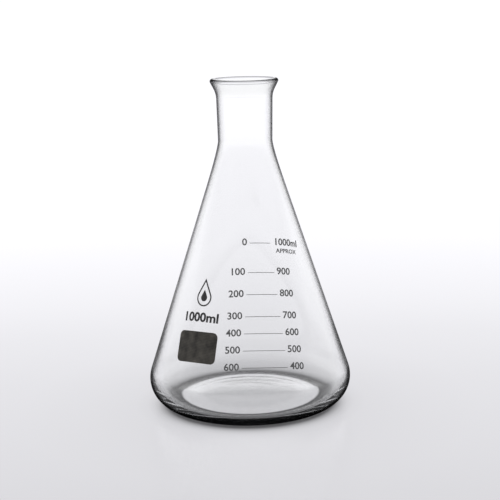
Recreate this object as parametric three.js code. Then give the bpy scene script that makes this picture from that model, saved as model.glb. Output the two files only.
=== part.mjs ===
// A 1000 ml narrow-mouth conical flask of blown borosilicate glass, with its fired enamel marks.
// Millimetres, +Z up. The origin is the middle of the ring that the flask rests on, and the
// graduated scale faces -Y.
import * as THREE from 'three';

// ---------------------------------------------------------------- driving dimensions
const HEIGHT = 213;              // from the table to the top of the rim
const BODY_RADIUS = 66;          // widest place, just above the heel
const HEEL_RADIUS = 18.4;        // round corner between the cone and the base
const CONE_HALF_ANGLE = THREE.MathUtils.degToRad(18.2);
const WALL = 1.8;                // cone and shoulder
const NECK_WALL = 2.1;
const BASE_WALL = 5;
const INNER_HEEL_RADIUS = 14.8;  // round corner inside, between the cone and the floor

const NECK_RADIUS = 17.4;        // outside, at the shoulder
const NECK_TOP_RADIUS = 17.9;    // outside, below the flared lip
const SHOULDER_UP = 5;           // how far the shoulder bend reaches up the neck
const SHOULDER_DOWN = 28;        // and how far it reaches down the cone

const RIM_RADIUS = 21.8;         // outside of the bead
const RIM_WIDTH = 3.4;           // the bead, from its outside to the mouth
const BEAD_RADIUS = 1.4;         // roundness of the bead's two edges
const LIP_ANGLE_OUTSIDE = THREE.MathUtils.degToRad(27);   // flare of the lip from the vertical
const LIP_ANGLE_INSIDE = THREE.MathUtils.degToRad(20);
const LIP_BEND = 3.5;            // how far the lip's bend into the neck reaches each way

const REST_RING_INNER = 43;      // the flat ring that touches the table
const PUSH_UP = 3;               // how far the middle of the base is raised
const CROWN_FLAT = 0.3;          // how much of the raised middle is nearly flat, of the rest ring's radius

const ROUND_STEPS = 64;          // facets round the glass

// ---------------------------------------------------------------- outlines
const UP = new THREE.Vector2(0, 1);

function arc(centre, radius, from, to) {
  return new THREE.EllipseCurve(centre.x, centre.y, radius, radius, from, to, to < from);
}

// A soft bend round a corner, from before it on one line to after it on the next.
function bend(corner, intoCorner, before, outOfCorner, after) {
  return new THREE.QuadraticBezierCurve(
    corner.clone().addScaledVector(intoCorner, -before),
    corner,
    corner.clone().addScaledVector(outOfCorner, after),
  );
}

// Adds a curve's points to an outline, leaving out a point that the outline already ends on.
function follow(outline, curve, steps) {
  for (const point of curve.getPoints(steps)) {
    const last = outline[outline.length - 1];
    if (!last || last.distanceTo(point) > 1e-6) outline.push(point);
  }
}

// ---------------------------------------------------------------- glass
// The cone's line touches the heel's circle and leans inwards by the cone's half angle.
const heel = new THREE.Vector2(BODY_RADIUS - HEEL_RADIUS, HEEL_RADIUS);
const upCone = new THREE.Vector2(-Math.sin(CONE_HALF_ANGLE), Math.cos(CONE_HALF_ANGLE));
const outOfCone = new THREE.Vector2(Math.cos(CONE_HALF_ANGLE), Math.sin(CONE_HALF_ANGLE));
const coneFoot = heel.clone().addScaledVector(outOfCone, HEEL_RADIUS);

function coneRadiusAt(z) {
  return coneFoot.x - (z - coneFoot.y) * Math.tan(CONE_HALF_ANGLE);
}

// The bend between the cone and the neck, on the outside or moved inwards by a wall.
function shoulder(neckRadius, wall) {
  const foot = coneFoot.clone().addScaledVector(outOfCone, -wall);
  const corner = foot.clone().addScaledVector(upCone, (neckRadius - foot.x) / upCone.x);
  return bend(corner, upCone, SHOULDER_DOWN, UP, SHOULDER_UP);
}

// The bend between the neck and the lip: the lip's line ends at the bead, at its flare angle.
function lipFoot(neckRadius, beadEnd, flare) {
  const upLip = new THREE.Vector2(Math.sin(flare), Math.cos(flare));
  const corner = beadEnd.clone().addScaledVector(upLip, (neckRadius - beadEnd.x) / upLip.x);
  return bend(corner, UP, LIP_BEND, upLip, LIP_BEND);
}

// Half a section of the wall, from the middle of the underside, round the outside and the rim, to
// the middle of the floor inside.
function glassOutline() {
  const outline = [];
  follow(outline, new THREE.QuadraticBezierCurve(
    new THREE.Vector2(0, PUSH_UP),
    new THREE.Vector2(REST_RING_INNER * CROWN_FLAT, PUSH_UP),
    new THREE.Vector2(REST_RING_INNER, 0),
  ), 4);

  follow(outline, arc(heel, HEEL_RADIUS, -Math.PI / 2, CONE_HALF_ANGLE), 8);
  follow(outline, shoulder(NECK_RADIUS, 0), 6);
  const beadOutside = new THREE.Vector2(RIM_RADIUS - BEAD_RADIUS, HEIGHT - BEAD_RADIUS);
  const beadOutsideArc = arc(beadOutside, BEAD_RADIUS, -LIP_ANGLE_OUTSIDE, Math.PI / 2);
  follow(outline, lipFoot(NECK_TOP_RADIUS, beadOutsideArc.getPoint(0), LIP_ANGLE_OUTSIDE), 3);
  follow(outline, beadOutsideArc, 4);

  const beadInside = new THREE.Vector2(RIM_RADIUS - RIM_WIDTH + BEAD_RADIUS, HEIGHT - BEAD_RADIUS);
  const beadInsideArc = arc(beadInside, BEAD_RADIUS, Math.PI / 2, Math.PI);
  follow(outline, beadInsideArc, 3);
  const bore = NECK_TOP_RADIUS - NECK_WALL;
  outline.push(...lipFoot(bore, beadInsideArc.getPoint(1), LIP_ANGLE_INSIDE).getPoints(3).reverse());
  outline.push(...shoulder(NECK_RADIUS - NECK_WALL, WALL).getPoints(5).reverse());

  // The inner heel touches the inside of the cone and stands one base wall above the table.
  const height = BASE_WALL + INNER_HEEL_RADIUS;
  const inwards = WALL + INNER_HEEL_RADIUS + (height - coneFoot.y) * outOfCone.y;
  const innerHeel = new THREE.Vector2(coneFoot.x - inwards / outOfCone.x, height);
  follow(outline, arc(innerHeel, INNER_HEEL_RADIUS, CONE_HALF_ANGLE, -Math.PI / 2), 6);
  follow(outline, new THREE.QuadraticBezierCurve(
    new THREE.Vector2(innerHeel.x, BASE_WALL),
    new THREE.Vector2(REST_RING_INNER * CROWN_FLAT, PUSH_UP + BASE_WALL),
    new THREE.Vector2(0, PUSH_UP + BASE_WALL),
  ), 3);
  return outline;
}

function glassBody() {
  const geometry = new THREE.LatheGeometry(glassOutline(), ROUND_STEPS);
  geometry.rotateX(Math.PI / 2);
  const glass = new THREE.MeshStandardMaterial({
    color: 0xdfe6ea,
    roughness: 0.03,
    metalness: 0,
    transparent: true,
    opacity: 0.3,
  });
  const mesh = new THREE.Mesh(geometry, glass);
  mesh.name = 'glass_body';
  return mesh;
}

// ---------------------------------------------------------------- enamel
const ENAMEL_GAP = 0.1;          // enamel stands this far off the faceted glass
const ENAMEL_THICKNESS = 0.2;
const ENAMEL_STEP = 3;           // furthest that its corners stand apart round the glass

// A point on the cone: along is the distance round the glass from a meridian, z is the height and
// off is the distance out from the glass. The angle of a meridian is counted from -Y towards +X.
function onCone(meridian, along, z, off) {
  const angle = meridian + along / coneRadiusAt(z);
  const radius = coneRadiusAt(z) + off * outOfCone.x;
  const height = z + off * outOfCone.y;
  return new THREE.Vector3(radius * Math.sin(angle), -radius * Math.cos(angle), height);
}

// One island of enamel on a grid of columns and rows. Each column has a place along the glass, a
// low end and a high end.
function enamel(name, material, meridian, columns, rows) {
  const points = [];
  for (const off of [ENAMEL_GAP, ENAMEL_GAP + ENAMEL_THICKNESS]) {
    for (const { along, low, high } of columns) {
      for (let row = 0; row <= rows; row += 1) {
        points.push(onCone(meridian, along, low + (high - low) * row / rows, off));
      }
    }
  }
  const perColumn = rows + 1;
  const skin = columns.length * perColumn;
  const faces = [];
  const quad = (a, b, c, d) => faces.push(a, b, c, a, c, d);

  for (let column = 0; column < columns.length - 1; column += 1) {
    for (let row = 0; row < rows; row += 1) {
      const here = column * perColumn + row;
      const beside = here + perColumn;
      quad(here, here + 1, beside + 1, beside);
      quad(skin + here, skin + beside, skin + beside + 1, skin + here + 1);
    }
    const low = column * perColumn;
    const high = low + rows;
    quad(low, low + perColumn, skin + low + perColumn, skin + low);
    quad(high, skin + high, skin + high + perColumn, high + perColumn);
  }
  for (let row = 0; row < rows; row += 1) {
    const last = skin - perColumn + row;
    quad(row, skin + row, skin + row + 1, row + 1);
    quad(last, last + 1, skin + last + 1, skin + last);
  }

  const geometry = new THREE.BufferGeometry().setFromPoints(points);
  geometry.setIndex(faces);
  geometry.computeVertexNormals();
  const mesh = new THREE.Mesh(geometry, material);
  mesh.name = name;
  return mesh;
}

// Even places from one end to the other, no further apart than a step.
function placesBetween(from, to, step) {
  const count = Math.ceil((to - from) / step);
  return Array.from({ length: count + 1 }, (_, index) => from + (to - from) * index / count);
}

const paleEnamel = new THREE.MeshStandardMaterial({ color: 0x9a9a9c, roughness: 0.6, metalness: 0 });
const darkEnamel = new THREE.MeshStandardMaterial({ color: 0x46443f, roughness: 0.75, metalness: 0 });

// ---------------------------------------------------------------- graduation lines
// The lines are centred at one distance from the scale's meridian and get longer down the cone.
const SCALE_MERIDIAN = THREE.MathUtils.degToRad(-11);
const SCALE_CENTRE = 9;
const LINE_THICKNESS = 0.6;
const LINE_LENGTH_TOP = 15;
const LINE_GROWTH = 0.18;        // extra length for each millimetre further down
const graduations = [
  { volume: 1000, z: 113.5 },
  { volume: 900, z: 96 },
  { volume: 800, z: 83 },
  { volume: 700, z: 70 },
  { volume: 600, z: 60 },
  { volume: 500, z: 50 },
  { volume: 400, z: 40 },
];

function graduationLine({ volume, z }) {
  const half = (LINE_LENGTH_TOP + (graduations[0].z - z) * LINE_GROWTH) / 2;
  const places = placesBetween(SCALE_CENTRE - half, SCALE_CENTRE + half, ENAMEL_STEP);
  const columns = places.map((along) => ({
    along,
    low: z - LINE_THICKNESS / 2,
    high: z + LINE_THICKNESS / 2,
  }));
  return enamel(`graduation_${volume}`, paleEnamel, SCALE_MERIDIAN, columns, 1);
}

// ---------------------------------------------------------------- marking patch
const PATCH_MERIDIAN = THREE.MathUtils.degToRad(-47);
const PATCH = { z: 50, width: 27.5, height: 18, corner: 2.5 };

// Half the height of a rounded rectangle at a distance from its middle.
function roundedHalfHeight(distance, { width, height, corner }) {
  const intoCorner = Math.max(0, Math.abs(distance) - (width / 2 - corner));
  return height / 2 - corner + Math.sqrt(Math.max(0, corner ** 2 - intoCorner ** 2));
}

function markingPatch() {
  const half = PATCH.width / 2;
  const corner = [0, 0.4, 0.7, 0.9, 1].map((part) => half - PATCH.corner * (1 - part));
  const middle = placesBetween(PATCH.corner - half, half - PATCH.corner, ENAMEL_STEP).slice(1, -1);
  const places = [...corner.map((place) => -place).reverse(), ...middle, ...corner];
  const columns = places.map((along) => ({
    along,
    low: PATCH.z - roundedHalfHeight(along, PATCH),
    high: PATCH.z + roundedHalfHeight(along, PATCH),
  }));
  return enamel('marking_patch', darkEnamel, PATCH_MERIDIAN, columns, 5);
}

// ---------------------------------------------------------------- drop mark
// A plain drop above the patch: a round lower part whose sides run up to a point.
const DROP = { z: 80, radius: 5.5, point: 12 };
const DROP_SIDE_CUT = 0.2;       // the round sides end on a short upright edge

function dropMark() {
  const touch = Math.asin(DROP.radius / DROP.point);
  const half = DROP.radius - DROP_SIDE_CUT;
  const columns = placesBetween(-half, half, 0.8).map((along) => {
    const round = Math.sqrt(DROP.radius ** 2 - along ** 2);
    const side = DROP.point - Math.abs(along) / Math.tan(touch);
    const onSide = Math.abs(along) < DROP.radius * Math.cos(touch);
    return { along, low: DROP.z - round, high: DROP.z + (onSide ? side : round) };
  });
  return enamel('drop_mark', paleEnamel, PATCH_MERIDIAN, columns, 4);
}

// ---------------------------------------------------------------- assembly
const flask = new THREE.Group();
flask.add(glassBody());
for (const graduation of graduations) flask.add(graduationLine(graduation));
flask.add(markingPatch());
flask.add(dropMark());

export default flask;
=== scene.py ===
import math

import bmesh
import bpy
from mathutils import Matrix, Vector


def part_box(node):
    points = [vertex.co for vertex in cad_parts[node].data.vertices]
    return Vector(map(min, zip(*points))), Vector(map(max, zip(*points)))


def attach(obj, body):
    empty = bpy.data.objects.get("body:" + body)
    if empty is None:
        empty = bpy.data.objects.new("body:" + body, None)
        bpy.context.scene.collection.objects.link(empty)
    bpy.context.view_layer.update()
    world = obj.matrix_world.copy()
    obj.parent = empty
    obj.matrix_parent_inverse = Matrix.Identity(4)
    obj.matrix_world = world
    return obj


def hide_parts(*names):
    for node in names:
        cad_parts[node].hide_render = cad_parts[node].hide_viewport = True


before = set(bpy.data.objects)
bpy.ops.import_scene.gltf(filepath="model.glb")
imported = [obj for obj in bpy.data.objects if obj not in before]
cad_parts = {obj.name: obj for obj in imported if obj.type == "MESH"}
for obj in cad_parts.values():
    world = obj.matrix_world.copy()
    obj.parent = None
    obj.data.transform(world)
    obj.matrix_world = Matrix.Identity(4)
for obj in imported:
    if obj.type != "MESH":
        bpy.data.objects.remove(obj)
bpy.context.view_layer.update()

# ------------------------------------------------------------------ camera
# A long lens, a little above the rim and turned a few degrees away from the graduated scale. It is
# held very slightly out of level.
MM = 0.001
CAMERA_AZIMUTH = math.radians(-11)
CAMERA_DISTANCE = 836.3 * MM
CAMERA_HEIGHT = 273 * MM
CAMERA_PITCH = math.radians(11.55)
CAMERA_YAW = math.radians(-0.11)
CAMERA_ROLL = math.radians(-1.19)
LENS = 94.6

lens = bpy.data.cameras.new("camera")
lens.lens = LENS
lens.sensor_width = 36
camera = bpy.data.objects.new("camera", lens)
bpy.context.scene.collection.objects.link(camera)
bpy.context.scene.camera = camera
turn = Matrix.Rotation(CAMERA_AZIMUTH, 4, "Z")
aim = Matrix.Rotation(math.pi / 2 - CAMERA_PITCH, 4, "X")
roll = Matrix.Rotation(CAMERA_ROLL, 4, "Z")
stand = Matrix.Translation((0, -CAMERA_DISTANCE, CAMERA_HEIGHT))
camera.matrix_world = turn @ stand @ Matrix.Rotation(CAMERA_YAW, 4, "Z") @ aim @ roll


# ------------------------------------------------------------------ table and light
# The flask stands on a satin white table that runs on without an edge. The table gives off its own
# light: a glow with a painted sheen, brighter where the table is seen at a low angle, and a painted
# shadow round the foot of the flask. A white band of light lies all round the horizon and the room
# above it is dark, which is how clear glass is lit so that its outline shows as a dark line.
class Wire:
    """A node's output that takes part in plain arithmetic: each operation adds its Math node."""

    def __init__(self, board, socket):
        self.board = board
        self.socket = socket

    def maths(self, operation, first, second=None):
        inputs = {0: first} if second is None else {0: first, 1: second}
        return self.board.node("ShaderNodeMath", {"operation": operation}, inputs)["Value"]

    def __add__(self, other):
        return self.maths("ADD", self, other)

    def __radd__(self, other):
        return self.maths("ADD", other, self)

    def __sub__(self, other):
        return self.maths("SUBTRACT", self, other)

    def __rsub__(self, other):
        return self.maths("SUBTRACT", other, self)

    def __mul__(self, other):
        return self.maths("MULTIPLY", self, other)

    def __rmul__(self, other):
        return self.maths("MULTIPLY", other, self)

    def __truediv__(self, other):
        return self.maths("DIVIDE", self, other)

    def __rtruediv__(self, other):
        return self.maths("DIVIDE", other, self)

    def __pow__(self, other):
        return self.maths("POWER", self, other)

    def __rpow__(self, other):
        return self.maths("POWER", other, self)


class Outputs:
    """A node's outputs by name."""

    def __init__(self, board, made):
        self.board = board
        self.made = made

    def __getitem__(self, name):
        return Wire(self.board, self.made.outputs[name])


class Board:
    """A node tree that is filled one node at a time."""

    def __init__(self, tree):
        self.tree = tree
        tree.nodes.clear()

    def node(self, kind, settings=None, inputs=None):
        made = self.tree.nodes.new(kind)
        for name, value in (settings or {}).items():
            if name == "stops":
                self.fill_ramp(made.color_ramp.elements, value)
            else:
                setattr(made, name, value)
        for name, value in (inputs or {}).items():
            if isinstance(value, Wire):
                self.tree.links.new(value.socket, made.inputs[name])
            else:
                made.inputs[name].default_value = value
        return Outputs(self, made)

    @staticmethod
    def fill_ramp(elements, stops):
        while len(elements) > 1:
            elements.remove(elements[-1])
        for number, (place, grey) in enumerate(stops):
            stop = elements[0] if number == 0 else elements.new(place)
            stop.position = place
            stop.color = (grey, grey, grey, 1) if isinstance(grey, (int, float)) else (*grey, 1)


def material(name):
    made = bpy.data.materials.new(name)
    made.use_nodes = True
    return made, Board(made.node_tree)


# The room and the table are at most this bright, and their ramps hold shares of it.
BRIGHTEST = 1.12
# How bright the room is at each height above the horizon, in degrees.
ROOM_LIGHT = [(0, BRIGHTEST), (9, 1.1), (12, 0.7), (16, 0.3), (24, 0.12), (35, 0.06), (90, 0.03)]
ROOM_TINT = (0.985, 0.985, 1.0)

room = bpy.data.worlds.new("room")
room.use_nodes = True
bpy.context.scene.world = room
board = Board(room.node_tree)
way = board.node("ShaderNodeTexCoord")["Generated"]
up = board.node("ShaderNodeSeparateXYZ", {}, {"Vector": way})["Z"]
height = board.node("ShaderNodeMath", {"operation": "ARCSINE"}, {0: up})["Value"] / (math.pi / 2)
height = board.node("ShaderNodeMath", {"operation": "ABSOLUTE"}, {0: height})["Value"]
ramp = board.node("ShaderNodeValToRGB",
                  {"stops": [(angle / 90, light / BRIGHTEST) for angle, light in ROOM_LIGHT]},
                  {"Fac": height})["Color"]
tinted = board.node("ShaderNodeVectorMath", {"operation": "MULTIPLY"}, {0: ramp, 1: ROOM_TINT})["Vector"]
light = board.node("ShaderNodeBackground", {}, {"Color": tinted, "Strength": BRIGHTEST})["Background"]
board.node("ShaderNodeOutputWorld", {}, {"Surface": light})

# The table runs this far each way, in metres.
TABLE_REACH = 40
TABLE_TINT = (0.99, 0.985, 1.025)
# Painted sheen: how bright the table's own glow is at each angle, in degrees, between its surface and
# the line of sight.
TABLE_PAINTED_SHEEN = [(0, BRIGHTEST), (8, 1.11), (11, 1.09), (12, 1.05), (13.7, 0.99), (15, 0.93), (17, 0.88),
               (20, 0.84), (22, 0.81), (30, 0.76), (38, 0.68), (50, 0.58), (90, 0.5)]
# A painted shadow round the foot of the flask: how much of that light is left at each distance from
# its middle in mm.
FOOT_PAINTED_SHADOW = [(0, 1.0), (45, 1.0), (47, 0.06), (55, 0.14), (58, 0.46), (61, 0.7), (64, 0.83), (68, 0.91),
              (76, 0.95), (110, 0.98), (150, 1.0)]
FOOT_REACH = FOOT_PAINTED_SHADOW[-1][0]
# Under the raised middle of the base a painted shade keeps the table's glow no brighter than the
# level below. That fades out between two distances from the middle, in mm.
UNDER_PAINTED_SHADE = 0.95
UNDER_INSIDE = 46
UNDER_OUTSIDE = 50
GLOSS_SHARE = 0.15

finish, board = material("white table with painted sheen and shadow")
# The glow carries a painted sheen, brighter the lower the angle at which the table is seen.
facing = board.node("ShaderNodeLayerWeight", {}, {"Blend": 0.5})["Facing"]
stops = sorted((1 - math.sin(math.radians(angle)), light / BRIGHTEST) for angle, light in TABLE_PAINTED_SHEEN)
painted_table_light = board.node("ShaderNodeValToRGB", {"stops": stops}, {"Fac": facing})["Color"]
# Painted shadow: the glow is dimmed round the foot of the flask by distance from its middle.
spot = board.node("ShaderNodeTexCoord")["Object"]
away = board.node("ShaderNodeVectorMath", {"operation": "LENGTH"}, {0: spot})["Value"] / (FOOT_REACH * MM)
painted_foot_shadow = board.node("ShaderNodeValToRGB",
                  {"stops": [(place / FOOT_REACH, light) for place, light in FOOT_PAINTED_SHADOW]},
                  {"Fac": away})["Color"]
# Painted shade under the raised middle of the base: there the glow is capped.
under_flask_shade_mask = board.node("ShaderNodeMapRange", {"interpolation_type": "SMOOTHSTEP"},
                   {"Value": away, "From Min": UNDER_INSIDE / FOOT_REACH,
                    "From Max": UNDER_OUTSIDE / FOOT_REACH, "To Min": 1.0, "To Max": 0.0})["Result"]
capped_painted_light = board.node("ShaderNodeVectorMath", {"operation": "MINIMUM"},
                    {0: painted_table_light, 1: (UNDER_PAINTED_SHADE / BRIGHTEST,) * 3})["Vector"]
painted_table_light = board.node("ShaderNodeMix", {"data_type": "RGBA"}, {0: under_flask_shade_mask, 6: painted_table_light, 7: capped_painted_light})[2]
painted_table_light = board.node("ShaderNodeVectorMath", {"operation": "MULTIPLY"}, {0: painted_table_light, 1: painted_foot_shadow})["Vector"]
tinted = board.node("ShaderNodeVectorMath", {"operation": "MULTIPLY"}, {0: painted_table_light, 1: TABLE_TINT})["Vector"]
# The table's own glow, which carries the painted sheen and the painted shadows; the gloss is real.
matt = board.node("ShaderNodeEmission", {}, {"Color": tinted, "Strength": BRIGHTEST})["Emission"]
gloss = board.node("ShaderNodeBsdfGlossy", {}, {"Color": (1, 1, 1, 1), "Roughness": 0.25})["BSDF"]
both = board.node("ShaderNodeMixShader", {}, {"Fac": GLOSS_SHARE, 1: matt, 2: gloss})["Shader"]
board.node("ShaderNodeOutputMaterial", {}, {"Surface": both})

mesh = bpy.data.meshes.new("table")
corners = [(-1, -1), (1, -1), (1, 1), (-1, 1)]
mesh.from_pydata([(x * TABLE_REACH, y * TABLE_REACH, 0) for x, y in corners], [], [(0, 1, 2, 3)])
mesh.materials.append(finish)
table = bpy.data.objects.new("table", mesh)
bpy.context.scene.collection.objects.link(table)

scene = bpy.context.scene
scene.view_settings.view_transform = "Standard"
scene.cycles.max_bounces = 24
scene.cycles.transmission_bounces = 24
scene.cycles.glossy_bounces = 12

# ------------------------------------------------------------------ flask
# One piece of clear borosilicate glass, blown in a mould and turned while it is hot. The rim is
# flared and melted to a bead, and the middle of the base is pushed up so that a ring carries it.
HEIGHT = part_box("glass_body")[1].z
BODY_RADIUS = 66 * MM
HEEL_RADIUS = 18.4 * MM
CONE_HALF_ANGLE = math.radians(18.2)
WALL = 1.8 * MM
NECK_WALL = 2.1 * MM
BASE_WALL = 5.0 * MM
INNER_HEEL_RADIUS = 14.8 * MM
NECK_RADIUS = 17.4 * MM
NECK_TOP_RADIUS = 17.9 * MM
SHOULDER_UP = 5 * MM
SHOULDER_DOWN = 28 * MM
RIM_RADIUS = 21.8 * MM
RIM_WIDTH = 3.4 * MM
BEAD_RADIUS = 1.4 * MM
LIP_ANGLE_OUTSIDE = math.radians(27)
LIP_ANGLE_INSIDE = math.radians(20)
LIP_BEND = 3.5 * MM
REST_RING_INNER = 43 * MM
PUSH_UP = 3 * MM
CROWN_FLAT = 0.3
ROUND_STEPS = 240

UP = Vector((0, 1))
heel = Vector((BODY_RADIUS - HEEL_RADIUS, HEEL_RADIUS))
up_cone = Vector((-math.sin(CONE_HALF_ANGLE), math.cos(CONE_HALF_ANGLE)))
out_of_cone = Vector((math.cos(CONE_HALF_ANGLE), math.sin(CONE_HALF_ANGLE)))
cone_foot = heel + out_of_cone * HEEL_RADIUS


def arc(centre, radius, start, end, steps):
    turns = [start + (end - start) * step / steps for step in range(steps + 1)]
    return [centre + Vector((math.cos(turn), math.sin(turn))) * radius for turn in turns]


def bezier(first, corner, last, steps):
    parts = [step / steps for step in range(steps + 1)]
    return [first * (1 - t) ** 2 + corner * 2 * t * (1 - t) + last * t ** 2 for t in parts]


def straight(first, last, steps):
    return [first.lerp(last, step / steps) for step in range(steps + 1)]


def shoulder(neck_radius, wall, steps):
    painted_foot_shadow = cone_foot - out_of_cone * wall
    corner = painted_foot_shadow + up_cone * ((neck_radius - painted_foot_shadow.x) / up_cone.x)
    return bezier(corner - up_cone * SHOULDER_DOWN, corner, corner + UP * SHOULDER_UP, steps)


def lip_foot(neck_radius, bead_end, flare, steps):
    up_lip = Vector((math.sin(flare), math.cos(flare)))
    corner = bead_end + up_lip * ((neck_radius - bead_end.x) / up_lip.x)
    return bezier(corner - UP * LIP_BEND, corner, corner + up_lip * LIP_BEND, steps)


def join(*stretches):
    """One outline through every stretch, with a straight run of short steps between them."""
    outline = []
    for stretch in stretches:
        if outline:
            gap = (stretch[0] - outline[-1]).length
            outline += straight(outline[-1], stretch[0], max(1, round(gap / (4 * MM))))[1:-1]
        outline += [point for point in stretch if not outline or (point - outline[-1]).length > 1e-6]
    return outline


bead_outside = arc(Vector((RIM_RADIUS - BEAD_RADIUS, HEIGHT - BEAD_RADIUS)), BEAD_RADIUS,
                   -LIP_ANGLE_OUTSIDE, math.pi / 2, 16)
bead_inside = arc(Vector((RIM_RADIUS - RIM_WIDTH + BEAD_RADIUS, HEIGHT - BEAD_RADIUS)), BEAD_RADIUS,
                  math.pi / 2, math.pi, 12)
inner_height = BASE_WALL + INNER_HEEL_RADIUS
inner_reach = WALL + INNER_HEEL_RADIUS + (inner_height - cone_foot.y) * out_of_cone.y
inner_centre = Vector((cone_foot.x - inner_reach / out_of_cone.x, inner_height))
inner_heel = arc(inner_centre, INNER_HEEL_RADIUS, CONE_HALF_ANGLE, -math.pi / 2, 30)
section = join(
    bezier(Vector((0, PUSH_UP)), Vector((REST_RING_INNER * CROWN_FLAT, PUSH_UP)),
           Vector((REST_RING_INNER, 0)), 16),
    arc(heel, HEEL_RADIUS, -math.pi / 2, CONE_HALF_ANGLE, 36),
    shoulder(NECK_RADIUS, 0, 24),
    lip_foot(NECK_TOP_RADIUS, bead_outside[0], LIP_ANGLE_OUTSIDE, 12),
    bead_outside,
    bead_inside,
    lip_foot(NECK_TOP_RADIUS - NECK_WALL, bead_inside[-1], LIP_ANGLE_INSIDE, 12)[::-1],
    shoulder(NECK_RADIUS - NECK_WALL, WALL, 24)[::-1],
    inner_heel,
    bezier(Vector((inner_centre.x, BASE_WALL)), Vector((REST_RING_INNER * CROWN_FLAT, PUSH_UP + BASE_WALL)),
           Vector((0, PUSH_UP + BASE_WALL)), 16),
)


def revolve_tree():
    """Geometry nodes that turn a section, a row of points from axis to axis, into a closed wall.

    The wall keeps what the section's points say about the painted shade on the glass.
    """
    tree = bpy.data.node_groups.new("revolved wall", "GeometryNodeTree")
    for name, kind in (("Section", "Geometry"), ("Steps Round", "Int"), ("Glass", "Material")):
        tree.interface.new_socket(name, in_out="INPUT", socket_type="NodeSocket" + kind)
    tree.interface.new_socket("Wall", in_out="OUTPUT", socket_type="NodeSocketGeometry")
    board = Board(tree)
    given = board.node("NodeGroupInput")
    points = board.node("GeometryNodeAttributeDomainSize", {"component": "MESH"},
                        {"Geometry": given["Section"]})["Point Count"]
    around = given["Steps Round"] + 1
    grid = board.node("GeometryNodeMeshGrid", {}, {"Vertices X": points, "Vertices Y": around})["Mesh"]
    index = board.node("GeometryNodeInputIndex")["Index"]
    row = board.node("ShaderNodeMath", {"operation": "FLOOR"}, {0: (index + 0.5) / around})["Value"]
    turn = (index - row * around) / given["Steps Round"] * math.tau
    place = board.node("GeometryNodeInputPosition")["Position"]
    sample = board.node("GeometryNodeSampleIndex", {"data_type": "FLOAT_VECTOR"},
                        {"Geometry": given["Section"], "Value": place, "Index": row})["Value"]
    parts = board.node("ShaderNodeSeparateXYZ", {}, {"Vector": sample})
    sine = board.node("ShaderNodeMath", {"operation": "SINE"}, {0: turn})["Value"]
    cosine = board.node("ShaderNodeMath", {"operation": "COSINE"}, {0: turn})["Value"]
    spot = board.node("ShaderNodeCombineXYZ", {}, {"X": parts["X"] * sine,
                                                    "Y": parts["X"] * cosine * -1,
                                                    "Z": parts["Z"]})["Vector"]
    for name in ("skin", "edge", "heel"):
        value = board.node("GeometryNodeInputNamedAttribute", {"data_type": "FLOAT"}, {"Name": name})
        value = board.node("GeometryNodeSampleIndex", {"data_type": "FLOAT"},
                           {"Geometry": given["Section"], "Value": value["Attribute"], "Index": row})["Value"]
        grid = board.node("GeometryNodeStoreNamedAttribute", {"data_type": "FLOAT", "domain": "POINT"},
                          {"Geometry": grid, "Name": name, "Value": value})["Geometry"]
    wall = board.node("GeometryNodeSetPosition", {}, {"Geometry": grid, "Position": spot})["Geometry"]
    wall = board.node("GeometryNodeMergeByDistance", {}, {"Geometry": wall, "Distance": 1e-6})["Geometry"]
    wall = board.node("GeometryNodeSetShadeSmooth", {}, {"Geometry": wall})["Geometry"]
    wall = board.node("GeometryNodeRealizeInstances", {}, {"Geometry": wall})["Geometry"]
    wall = board.node("GeometryNodeSetMaterial", {}, {"Geometry": wall, "Material": given["Glass"]})
    board.node("NodeGroupOutput", {}, {"Wall": wall["Geometry"]})
    return tree


def grown(name, start, tree, values):
    """The plain mesh that a geometry node tree makes from a starting mesh."""
    seed = bpy.data.objects.new(name, start)
    bpy.context.scene.collection.objects.link(seed)
    growth = seed.modifiers.new("growth", "NODES")
    growth.node_group = tree
    for item in tree.interface.items_tree:
        if item.in_out == "INPUT" and item.name in values:
            growth[item.identifier] = values[item.name]
    bpy.context.view_layer.update()
    made = bpy.data.meshes.new_from_object(seed.evaluated_get(bpy.context.evaluated_depsgraph_get()))
    bpy.data.objects.remove(seed)
    made.name = name
    piece = bpy.data.objects.new(name, made)
    bpy.context.scene.collection.objects.link(piece)
    return piece


def outward(piece):
    """Merges what coincides in a closed piece and turns its faces outwards."""
    shell = bmesh.new()
    shell.from_mesh(piece.data)
    bmesh.ops.remove_doubles(shell, verts=shell.verts, dist=1e-6)
    bmesh.ops.recalc_face_normals(shell, faces=shell.faces)
    shell.to_mesh(piece.data)
    shell.free()


# How deep the painted dark edge of the wall is, in mm, and how dark its painted shade is, at each
# height in mm.
EDGE_DEPTH = [(0, 6.0), (12, 5.4), (24, 4.6), (40, 4.5), (60, 3.4), (110, 2.8), (150, 2.6), (165, 2.9),
              (210.9, 3.0), (211.2, 9.0), (213, 9.0)]
EDGE_PAINTED_SHADE = [(0, 1.0), (18, 0.95), (28, 0.86), (45, 0.88), (60, 0.8), (110, 0.73), (150, 0.77),
                 (165, 0.84), (213, 0.86)]
INSIDE_PAINTED_SHADE = [(0, 0.12), (25, 0.15), (213, 0.15)]
# Painted shade: between these heights in mm the heel is painted dark all over, and not only at its
# edge.
HEEL_PAINTED_SHADE = [(0.8, 0.0), (1.3, 0.95), (7.5, 0.95), (10.5, 0.0)]
WIDEST_EDGE = 0.8
# The round heel ends below HEEL_TOP. The pushed-up middle of the base is the nearly level part of
# the wall within CROWN_REACH of the axis.
HEEL_TOP = HEEL_RADIUS * 1.3
CROWN_LEVEL = 0.97
CROWN_REACH = REST_RING_INNER * 1.05

glass, board = material("clear glass")
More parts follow.
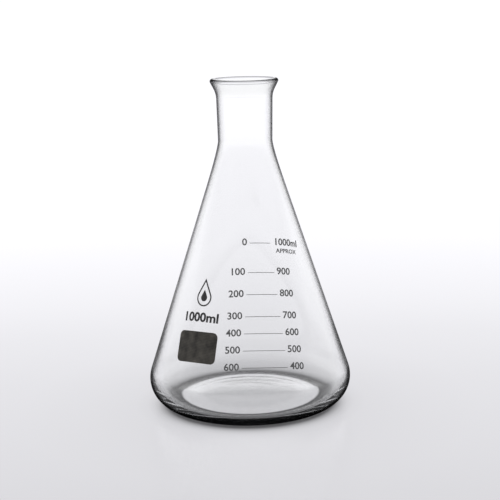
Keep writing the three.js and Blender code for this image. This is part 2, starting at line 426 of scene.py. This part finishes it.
# Painted shade on the glass: how edge-on the wall is seen, and the heel attribute, weight a dark coat that
# darkens the outline and the heel.
facing = board.node("ShaderNodeLayerWeight", {}, {"Blend": 0.5})["Facing"]
skin = board.node("ShaderNodeAttribute", {"attribute_name": "skin"})["Fac"]
width = board.node("ShaderNodeAttribute", {"attribute_name": "edge"})["Fac"]
edge = board.node("ShaderNodeMapRange", {"interpolation_type": "SMOOTHSTEP"},
                  {"Value": (1 - facing) / (width + 0.001), "From Min": 0.5, "From Max": 1.0,
                   "To Min": 1.0, "To Max": 0.0})["Result"]
heel_painted_shade = board.node("ShaderNodeAttribute", {"attribute_name": "heel"})["Fac"]
glance = board.node("ShaderNodeFresnel", {}, {"IOR": 0.55})["Fac"]
painted_shade = board.node("ShaderNodeMath", {"operation": "MAXIMUM"}, {0: edge * skin, 1: heel_painted_shade * glance})
# Blown glass is faintly wavy, and its waves are drawn out up the wall.
where = board.node("ShaderNodeTexCoord")["Object"]
drawn = board.node("ShaderNodeVectorMath", {"operation": "MULTIPLY"}, {0: where, 1: (1, 1, 0.25)})["Vector"]
waves = board.node("ShaderNodeTexNoise", {},
                   {"Vector": drawn, "Scale": 70, "Detail": 3, "Roughness": 0.45})["Fac"]
bump = board.node("ShaderNodeBump", {}, {"Height": waves, "Strength": 0.3, "Distance": 0.2 * MM})["Normal"]
# The coat is no real layer: its dark tint is the colour of the painted shade on the outline and heel.
shell = board.node("ShaderNodeBsdfPrincipled", {},
                   {"Normal": bump, "Base Color": (0.995, 0.997, 0.997, 1), "Roughness": 0.0, "IOR": 1.473,
                    "Transmission Weight": 1.0, "Coat Weight": painted_shade["Value"], "Coat IOR": 1.0,
                    "Coat Tint": (0.2, 0.2, 0.21, 1), "Coat Roughness": 0.0})["BSDF"]
body = board.node("ShaderNodeVolumeAbsorption", {},
                  {"Color": (0.3, 0.33, 0.32, 1), "Density": 8.0})["Volume"]
board.node("ShaderNodeOutputMaterial", {}, {"Surface": shell, "Volume": body})


def between(table, place):
    """The value at a place in a table of (place, value) rows, with straight runs between them."""
    for (start, low), (end, high) in zip(table, table[1:]):
        if start <= place <= end:
            return low + (high - low) * (place - start) / (end - start)
    return table[0][1] if place < table[0][0] else table[-1][1]


points = bpy.data.meshes.new("section")
points.from_pydata([(point.x, 0, point.y) for point in section], [], [])
rim_top = section.index(bead_inside[0])
painted_darkness = {"skin": [], "edge": [], "heel": []}
for number, point in enumerate(section):
    tall = point.y / MM
    outside = number < rim_top
    # Near the base the wall turns level, so its edge follows the heel's roundness and not the body's,
    # and the pushed-up middle has no painted dark edge.
    before = section[max(number - 1, 0)]
    after = section[min(number + 1, len(section) - 1)]
    level = abs((after - before).normalized().x) if point.y < HEEL_TOP else 0
    radius = point.x * (1 - level ** 2) + HEEL_RADIUS * level ** 2
    flat = level > CROWN_LEVEL and point.x < CROWN_REACH
    width = min(WIDEST_EDGE, math.sqrt(2 * between(EDGE_DEPTH, tall) * MM / radius))
    painted_darkness["edge"].append(0 if flat else width)
    painted_darkness["heel"].append(between(HEEL_PAINTED_SHADE, tall) if outside else 0)
    painted_darkness["skin"].append(between(EDGE_PAINTED_SHADE if outside else INSIDE_PAINTED_SHADE, tall))
for name, values in painted_darkness.items():
    points.attributes.new(name, "FLOAT", "POINT").data.foreach_set("value", values)
flask = grown("flask", points, revolve_tree(), {"Steps Round": ROUND_STEPS, "Glass": glass})
outward(flask)
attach(flask, "root")
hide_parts("glass_body")

# ------------------------------------------------------------------ graduated scale
# Seven rows of dark ceramic enamel on the outside of the cone: a line with the contents on its
# left and the volume on its right. They are printed flat on one transfer, laid on the cone and
# fired, so what is straight on the transfer bends a little round the cone.
ENAMEL_GAP = 0.06 * MM
ENAMEL_THICKNESS = 0.1 * MM
ENAMEL_STEP = 1.2 * MM
SCALE_MERIDIAN = math.radians(-11)
SCALE_CENTRE = 8.0 * MM
SCALE_DRIFT = 0.018
LINE_THICKNESS = 0.32 * MM
LINE_LENGTH_TOP = 13 * MM
LINE_GROWTH = 0.216
FIGURE_HEIGHT = 4.5 * MM
LEFT_RISE = 0.8 * MM
RIGHT_RISE = 1.12 * MM
FIGURE_GAP = 1.7 * MM
TOP_ROW_GAP = 3.6 * MM
FIGURE_WIDTH = 1.06
FIGURE_BOLD = 0.018
# The figures left and right of each line, and the line's height in mm.
ROWS = [("0", "1000ml", 113.5), ("100", "900", 96), ("200", "800", 83), ("300", "700", 70),
        ("400", "600", 60), ("500", "500", 50), ("600", "400", 40)]
apex = cone_foot.y + cone_foot.x / math.tan(CONE_HALF_ANGLE)


def wrap_tree():
    """Geometry nodes that lay a flat print, x along and y up, on the outside of the cone."""
    tree = bpy.data.node_groups.new("print laid on the cone", "GeometryNodeTree")
    for name, kind in (("Print", "Geometry"), ("Meridian", "Float"), ("Slant", "Float"),
                       ("Apex", "Float"), ("Half Angle", "Float"), ("Enamel", "Material")):
        tree.interface.new_socket(name, in_out="INPUT", socket_type="NodeSocket" + kind)
    tree.interface.new_socket("Laid", in_out="OUTPUT", socket_type="NodeSocketGeometry")
    board = Board(tree)
    given = board.node("NodeGroupInput")
    place = board.node("GeometryNodeInputPosition")["Position"]
    flat = board.node("ShaderNodeSeparateXYZ", {}, {"Vector": place})
    sine = board.node("ShaderNodeMath", {"operation": "SINE"}, {0: given["Half Angle"]})["Value"]
    cosine = board.node("ShaderNodeMath", {"operation": "COSINE"}, {0: given["Half Angle"]})["Value"]
    down = given["Slant"] - flat["Y"]
    slant = (down * down + flat["X"] * flat["X"]) ** 0.5
    spread = board.node("ShaderNodeMath", {"operation": "ARCTAN2"}, {0: flat["X"], 1: down})["Value"]
    turn = given["Meridian"] + spread / sine
    radius = slant * sine + flat["Z"] * cosine
    height = given["Apex"] - slant * cosine + flat["Z"] * sine
    across = board.node("ShaderNodeMath", {"operation": "SINE"}, {0: turn})["Value"]
    front = board.node("ShaderNodeMath", {"operation": "COSINE"}, {0: turn})["Value"]
    spot = board.node("ShaderNodeCombineXYZ", {}, {"X": radius * across, "Y": radius * front * -1,
                                                    "Z": height})["Vector"]
    laid = board.node("GeometryNodeSetPosition", {}, {"Geometry": given["Print"], "Position": spot})
    laid = board.node("GeometryNodeRealizeInstances", {}, {"Geometry": laid["Geometry"]})["Geometry"]
    laid = board.node("GeometryNodeSetMaterial", {}, {"Geometry": laid, "Material": given["Enamel"]})
    board.node("NodeGroupOutput", {}, {"Laid": laid["Geometry"]})
    return tree


def word(text, thicken=0.0):
    """A flat mesh of a word whose figures are one unit high, standing on y = 0 and starting at x = 0."""
    curve = bpy.data.curves.new(text, "FONT")
    curve.body = text
    curve.offset = thicken
    curve.resolution_u = 3
    letters = bpy.data.objects.new(text, curve)
    bpy.context.scene.collection.objects.link(letters)
    bpy.context.view_layer.update()
    mesh = bpy.data.meshes.new_from_object(letters.evaluated_get(bpy.context.evaluated_depsgraph_get()))
    bpy.data.objects.remove(letters)
    return mesh


def extent(mesh, axis):
    values = [vertex.co[axis] for vertex in mesh.vertices]
    return min(values), max(values)


class Print:
    """A flat print that is filled with words and shapes and then laid on the cone."""

    def __init__(self):
        self.sheet = bmesh.new()

    def add(self, mesh, matrix):
        mesh.transform(matrix)
        self.sheet.from_mesh(mesh)
        bpy.data.meshes.remove(mesh)

    def write(self, text, side, x, y, height, condense, thicken=0.0):
        """Puts a word on the print.

        Its left end is at x when side is 0, its middle when it is 0.5 and its right end when it is 1.
        """
        figure = word("0", thicken)
        tall = extent(figure, 1)
        bpy.data.meshes.remove(figure)
        size = height / (tall[1] - tall[0])
        letters = word(text, thicken)
        wide = extent(letters, 0)
        start = x - side * (wide[1] - wide[0]) * size * condense - wide[0] * size * condense
        stand = Matrix.Translation((start, y - height / 2 - tall[0] * size, 0))
        self.add(letters, stand @ Matrix.Diagonal((size * condense, size, 1, 1)))

    def fill(self, outline):
        self.sheet.faces.new([self.sheet.verts.new((*point, 0)) for point in outline])

    def band(self, outside, inside):
        outer = [self.sheet.verts.new((*point, 0)) for point in outside]
        inner = [self.sheet.verts.new((*point, 0)) for point in inside]
        for number in range(len(outer)):
            following = (number + 1) % len(outer)
            self.sheet.faces.new((outer[number], outer[following], inner[following], inner[number]))

    def lay(self, name, meridian, slant, tree, enamel):
        sheet = self.sheet
        bmesh.ops.remove_doubles(sheet, verts=sheet.verts, dist=1e-7)
        wide = [vertex.co.x for vertex in sheet.verts]
        for number in range(math.ceil(min(wide) / ENAMEL_STEP), math.floor(max(wide) / ENAMEL_STEP) + 1):
            everything = sheet.verts[:] + sheet.edges[:] + sheet.faces[:]
            bmesh.ops.bisect_plane(sheet, geom=everything, dist=1e-8,
                                   plane_co=(number * ENAMEL_STEP, 0, 0), plane_no=(1, 0, 0))
        back = sheet.faces[:]
        made = bmesh.ops.extrude_face_region(sheet, geom=back, use_keep_orig=True)["geom"]
        for vertex in sheet.verts:
            vertex.co.z = ENAMEL_GAP
        for vertex in made:
            if isinstance(vertex, bmesh.types.BMVert):
                vertex.co.z = ENAMEL_GAP + ENAMEL_THICKNESS
        bmesh.ops.triangulate(sheet, faces=sheet.faces)
        bmesh.ops.recalc_face_normals(sheet, faces=sheet.faces)
        start = bpy.data.meshes.new(name)
        sheet.to_mesh(start)
        sheet.free()
        return grown(name, start, tree, {"Meridian": meridian, "Slant": slant, "Apex": apex,
                                         "Half Angle": CONE_HALF_ANGLE, "Enamel": enamel})


def enamel(name, dark, light):
    """Matt fired enamel with the fine grain of its pigment."""
    finish, board = material(name)
    where = board.node("ShaderNodeTexCoord")["Object"]
    grain = board.node("ShaderNodeTexNoise", {}, {"Vector": where, "Scale": 900, "Detail": 3})["Fac"]
    stops = [(0.3, dark), (0.7, light)]
    shade = board.node("ShaderNodeValToRGB", {"stops": stops}, {"Fac": grain})["Color"]
    bump = board.node("ShaderNodeBump", {},
                      {"Height": grain, "Strength": 0.2, "Distance": 0.05 * MM})["Normal"]
    ink = board.node("ShaderNodeBsdfPrincipled", {},
                     {"Base Color": shade, "Roughness": 0.45 + 0.3 * grain, "Normal": bump})["BSDF"]
    board.node("ShaderNodeOutputMaterial", {}, {"Surface": ink})
    return finish


scale_enamel = enamel("grey scale enamel", 0.1, 0.22)
cone_wrap = wrap_tree()
for left, right, level in ROWS:
    level *= MM
    below = ROWS[0][2] * MM - level
    line = (LINE_LENGTH_TOP + below * LINE_GROWTH) / 2
    middle = SCALE_CENTRE + below * SCALE_DRIFT
    row = Print()
    half = LINE_THICKNESS / 2
    row.fill([(-line, -half), (line, -half), (line, half), (-line, half)])
    row.write(left, 1, -line - FIGURE_GAP, LEFT_RISE, FIGURE_HEIGHT, FIGURE_WIDTH, FIGURE_BOLD)
    gap = FIGURE_GAP if below else TOP_ROW_GAP
    row.write(right, 0, line + gap, RIGHT_RISE, FIGURE_HEIGHT, FIGURE_WIDTH, FIGURE_BOLD)
    for vertex in row.sheet.verts:
        vertex.co.x += middle
    away = (apex - level) / math.cos(CONE_HALF_ANGLE)
    contents = right.removesuffix("ml")
    piece = row.lay("scale_row_" + contents, SCALE_MERIDIAN,
                    math.sqrt(away ** 2 - middle ** 2), cone_wrap, scale_enamel)
    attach(piece, "root")
    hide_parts("graduation_" + contents)

# ------------------------------------------------------------------ words of the print
# The word below the top row says that the marks are approximate, and the large figures above the
# patch give the capacity. Both are the same fired enamel as the scale.
WORD_HEIGHT = 2.8 * MM
WORD_WIDTH = 1.1
WORD_DROP = 4.5 * MM
WORD_PLACE = 18.2 * MM
CAPACITY_HEIGHT = 6.1 * MM
CAPACITY_Z = 68.3 * MM
CAPACITY_WIDTH = 1.15
CAPACITY_BOLD = 0.03
PATCH_TURN = math.radians(3)
PATCH_MERIDIAN = math.radians(-47.4)

row = Print()
row.write("APPROX", 0, WORD_PLACE, -WORD_DROP, WORD_HEIGHT, WORD_WIDTH, FIGURE_BOLD)
away = (apex - ROWS[0][2] * MM) / math.cos(CONE_HALF_ANGLE)
piece = row.lay("approx_word", SCALE_MERIDIAN, math.sqrt(away ** 2 - SCALE_CENTRE ** 2),
                cone_wrap, scale_enamel)
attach(piece, "root")

capacity_enamel = enamel("dark scale enamel", 0.025, 0.07)
capacity = Print()
capacity.write("1000ml", 0.5, 0, 0, CAPACITY_HEIGHT, CAPACITY_WIDTH, CAPACITY_BOLD)
bmesh.ops.rotate(capacity.sheet, verts=capacity.sheet.verts, matrix=Matrix.Rotation(PATCH_TURN, 3, "Z"))
piece = capacity.lay("capacity_figures", PATCH_MERIDIAN, (apex - CAPACITY_Z) / math.cos(CONE_HALF_ANGLE),
                     cone_wrap, capacity_enamel)
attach(piece, "root")

# ------------------------------------------------------------------ drop mark
# A plain outlined drop with a small full drop inside, above the capacity figures. It is printed and
# fired with them, in the same enamel.
DROP_Z = 80 * MM
DROP_RADIUS = 5.5 * MM
DROP_POINT = 12 * MM
DROP_STROKE = 0.9 * MM
DROP_STEPS = 28
SMALL_DROP = 0.42
SMALL_DROP_STEPS = 20


def drop(radius, point, turns):
    """The outline of a drop about its round part's middle."""
    touch = math.asin(radius / point)
    sweep = [touch - (math.pi + 2 * touch) * step / turns for step in range(turns + 1)]
    return [(0, point)] + [(radius * math.cos(turn), radius * math.sin(turn)) for turn in sweep]


mark = Print()
stroke_point = DROP_POINT - DROP_STROKE * DROP_POINT / DROP_RADIUS
mark.band(drop(DROP_RADIUS, DROP_POINT, DROP_STEPS),
          drop(DROP_RADIUS - DROP_STROKE, stroke_point, DROP_STEPS))
mark.fill(drop(DROP_RADIUS * SMALL_DROP, DROP_POINT * SMALL_DROP, SMALL_DROP_STEPS))
bmesh.ops.rotate(mark.sheet, verts=mark.sheet.verts, matrix=Matrix.Rotation(PATCH_TURN, 3, "Z"))
piece = mark.lay("drop_outline", PATCH_MERIDIAN, (apex - DROP_Z) / math.cos(CONE_HALF_ANGLE),
                 cone_wrap, capacity_enamel)
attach(piece, "root")
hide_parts("drop_mark")

# ------------------------------------------------------------------ marking patch
# A rounded square of matt brown-black enamel that takes pencil. It was printed through a screen,
# whose fine mesh still shows in it.
PATCH_Z = 50.4 * MM
PATCH_WIDTH = 29.4 * MM
PATCH_HEIGHT = 19.6 * MM
PATCH_CORNER = 3.2 * MM
CONE_AT_PATCH = BODY_RADIUS * 0.85
MESH_PITCH = 0.9 * MM

patch_enamel, board = material("matt patch enamel")
where = board.node("ShaderNodeTexCoord")["Object"]
parts = board.node("ShaderNodeSeparateXYZ", {}, {"Vector": where})
turned = board.node("ShaderNodeMath", {"operation": "ARCTAN2"}, {0: parts["X"], 1: parts["Y"] * -1})["Value"]
across = turned * CONE_AT_PATCH * (math.tau / MESH_PITCH)
rising = parts["Z"] * (math.tau / MESH_PITCH)
threads = board.node("ShaderNodeMath", {"operation": "SINE"}, {0: across})["Value"]
wefts = board.node("ShaderNodeMath", {"operation": "SINE"}, {0: rising})["Value"]
weave = board.node("ShaderNodeMath", {"operation": "MAXIMUM"}, {0: threads, 1: wefts})["Value"]
cloud = board.node("ShaderNodeTexNoise", {}, {"Vector": where, "Scale": 160, "Detail": 4})["Fac"]
tone = board.node("ShaderNodeMath", {"operation": "MULTIPLY_ADD"}, {0: weave, 1: 0.16, 2: cloud})["Value"]
stops = [(0.3, (0.022, 0.021, 0.019)), (0.8, (0.13, 0.12, 0.1))]
shade = board.node("ShaderNodeValToRGB", {"stops": stops}, {"Fac": tone})["Color"]
bump = board.node("ShaderNodeBump", {}, {"Height": weave, "Strength": 0.5, "Distance": 0.08 * MM})["Normal"]
ink = board.node("ShaderNodeBsdfPrincipled", {},
                 {"Base Color": shade, "Roughness": 0.8 - 0.2 * cloud, "Normal": bump})["BSDF"]
board.node("ShaderNodeOutputMaterial", {}, {"Surface": ink})

patch = Print()
outline = []
for turn, side, end in ((0, 1, 1), (1, -1, 1), (2, -1, -1), (3, 1, -1)):
    middle = Vector((side * (PATCH_WIDTH / 2 - PATCH_CORNER), end * (PATCH_HEIGHT / 2 - PATCH_CORNER)))
    outline += arc(middle, PATCH_CORNER, turn * math.pi / 2, (turn + 1) * math.pi / 2, 8)
patch.fill(outline)
bmesh.ops.rotate(patch.sheet, verts=patch.sheet.verts, matrix=Matrix.Rotation(PATCH_TURN, 3, "Z"))
piece = patch.lay("patch_print", PATCH_MERIDIAN, (apex - PATCH_Z) / math.cos(CONE_HALF_ANGLE),
                  cone_wrap, patch_enamel)
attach(piece, "root")
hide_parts("marking_patch")
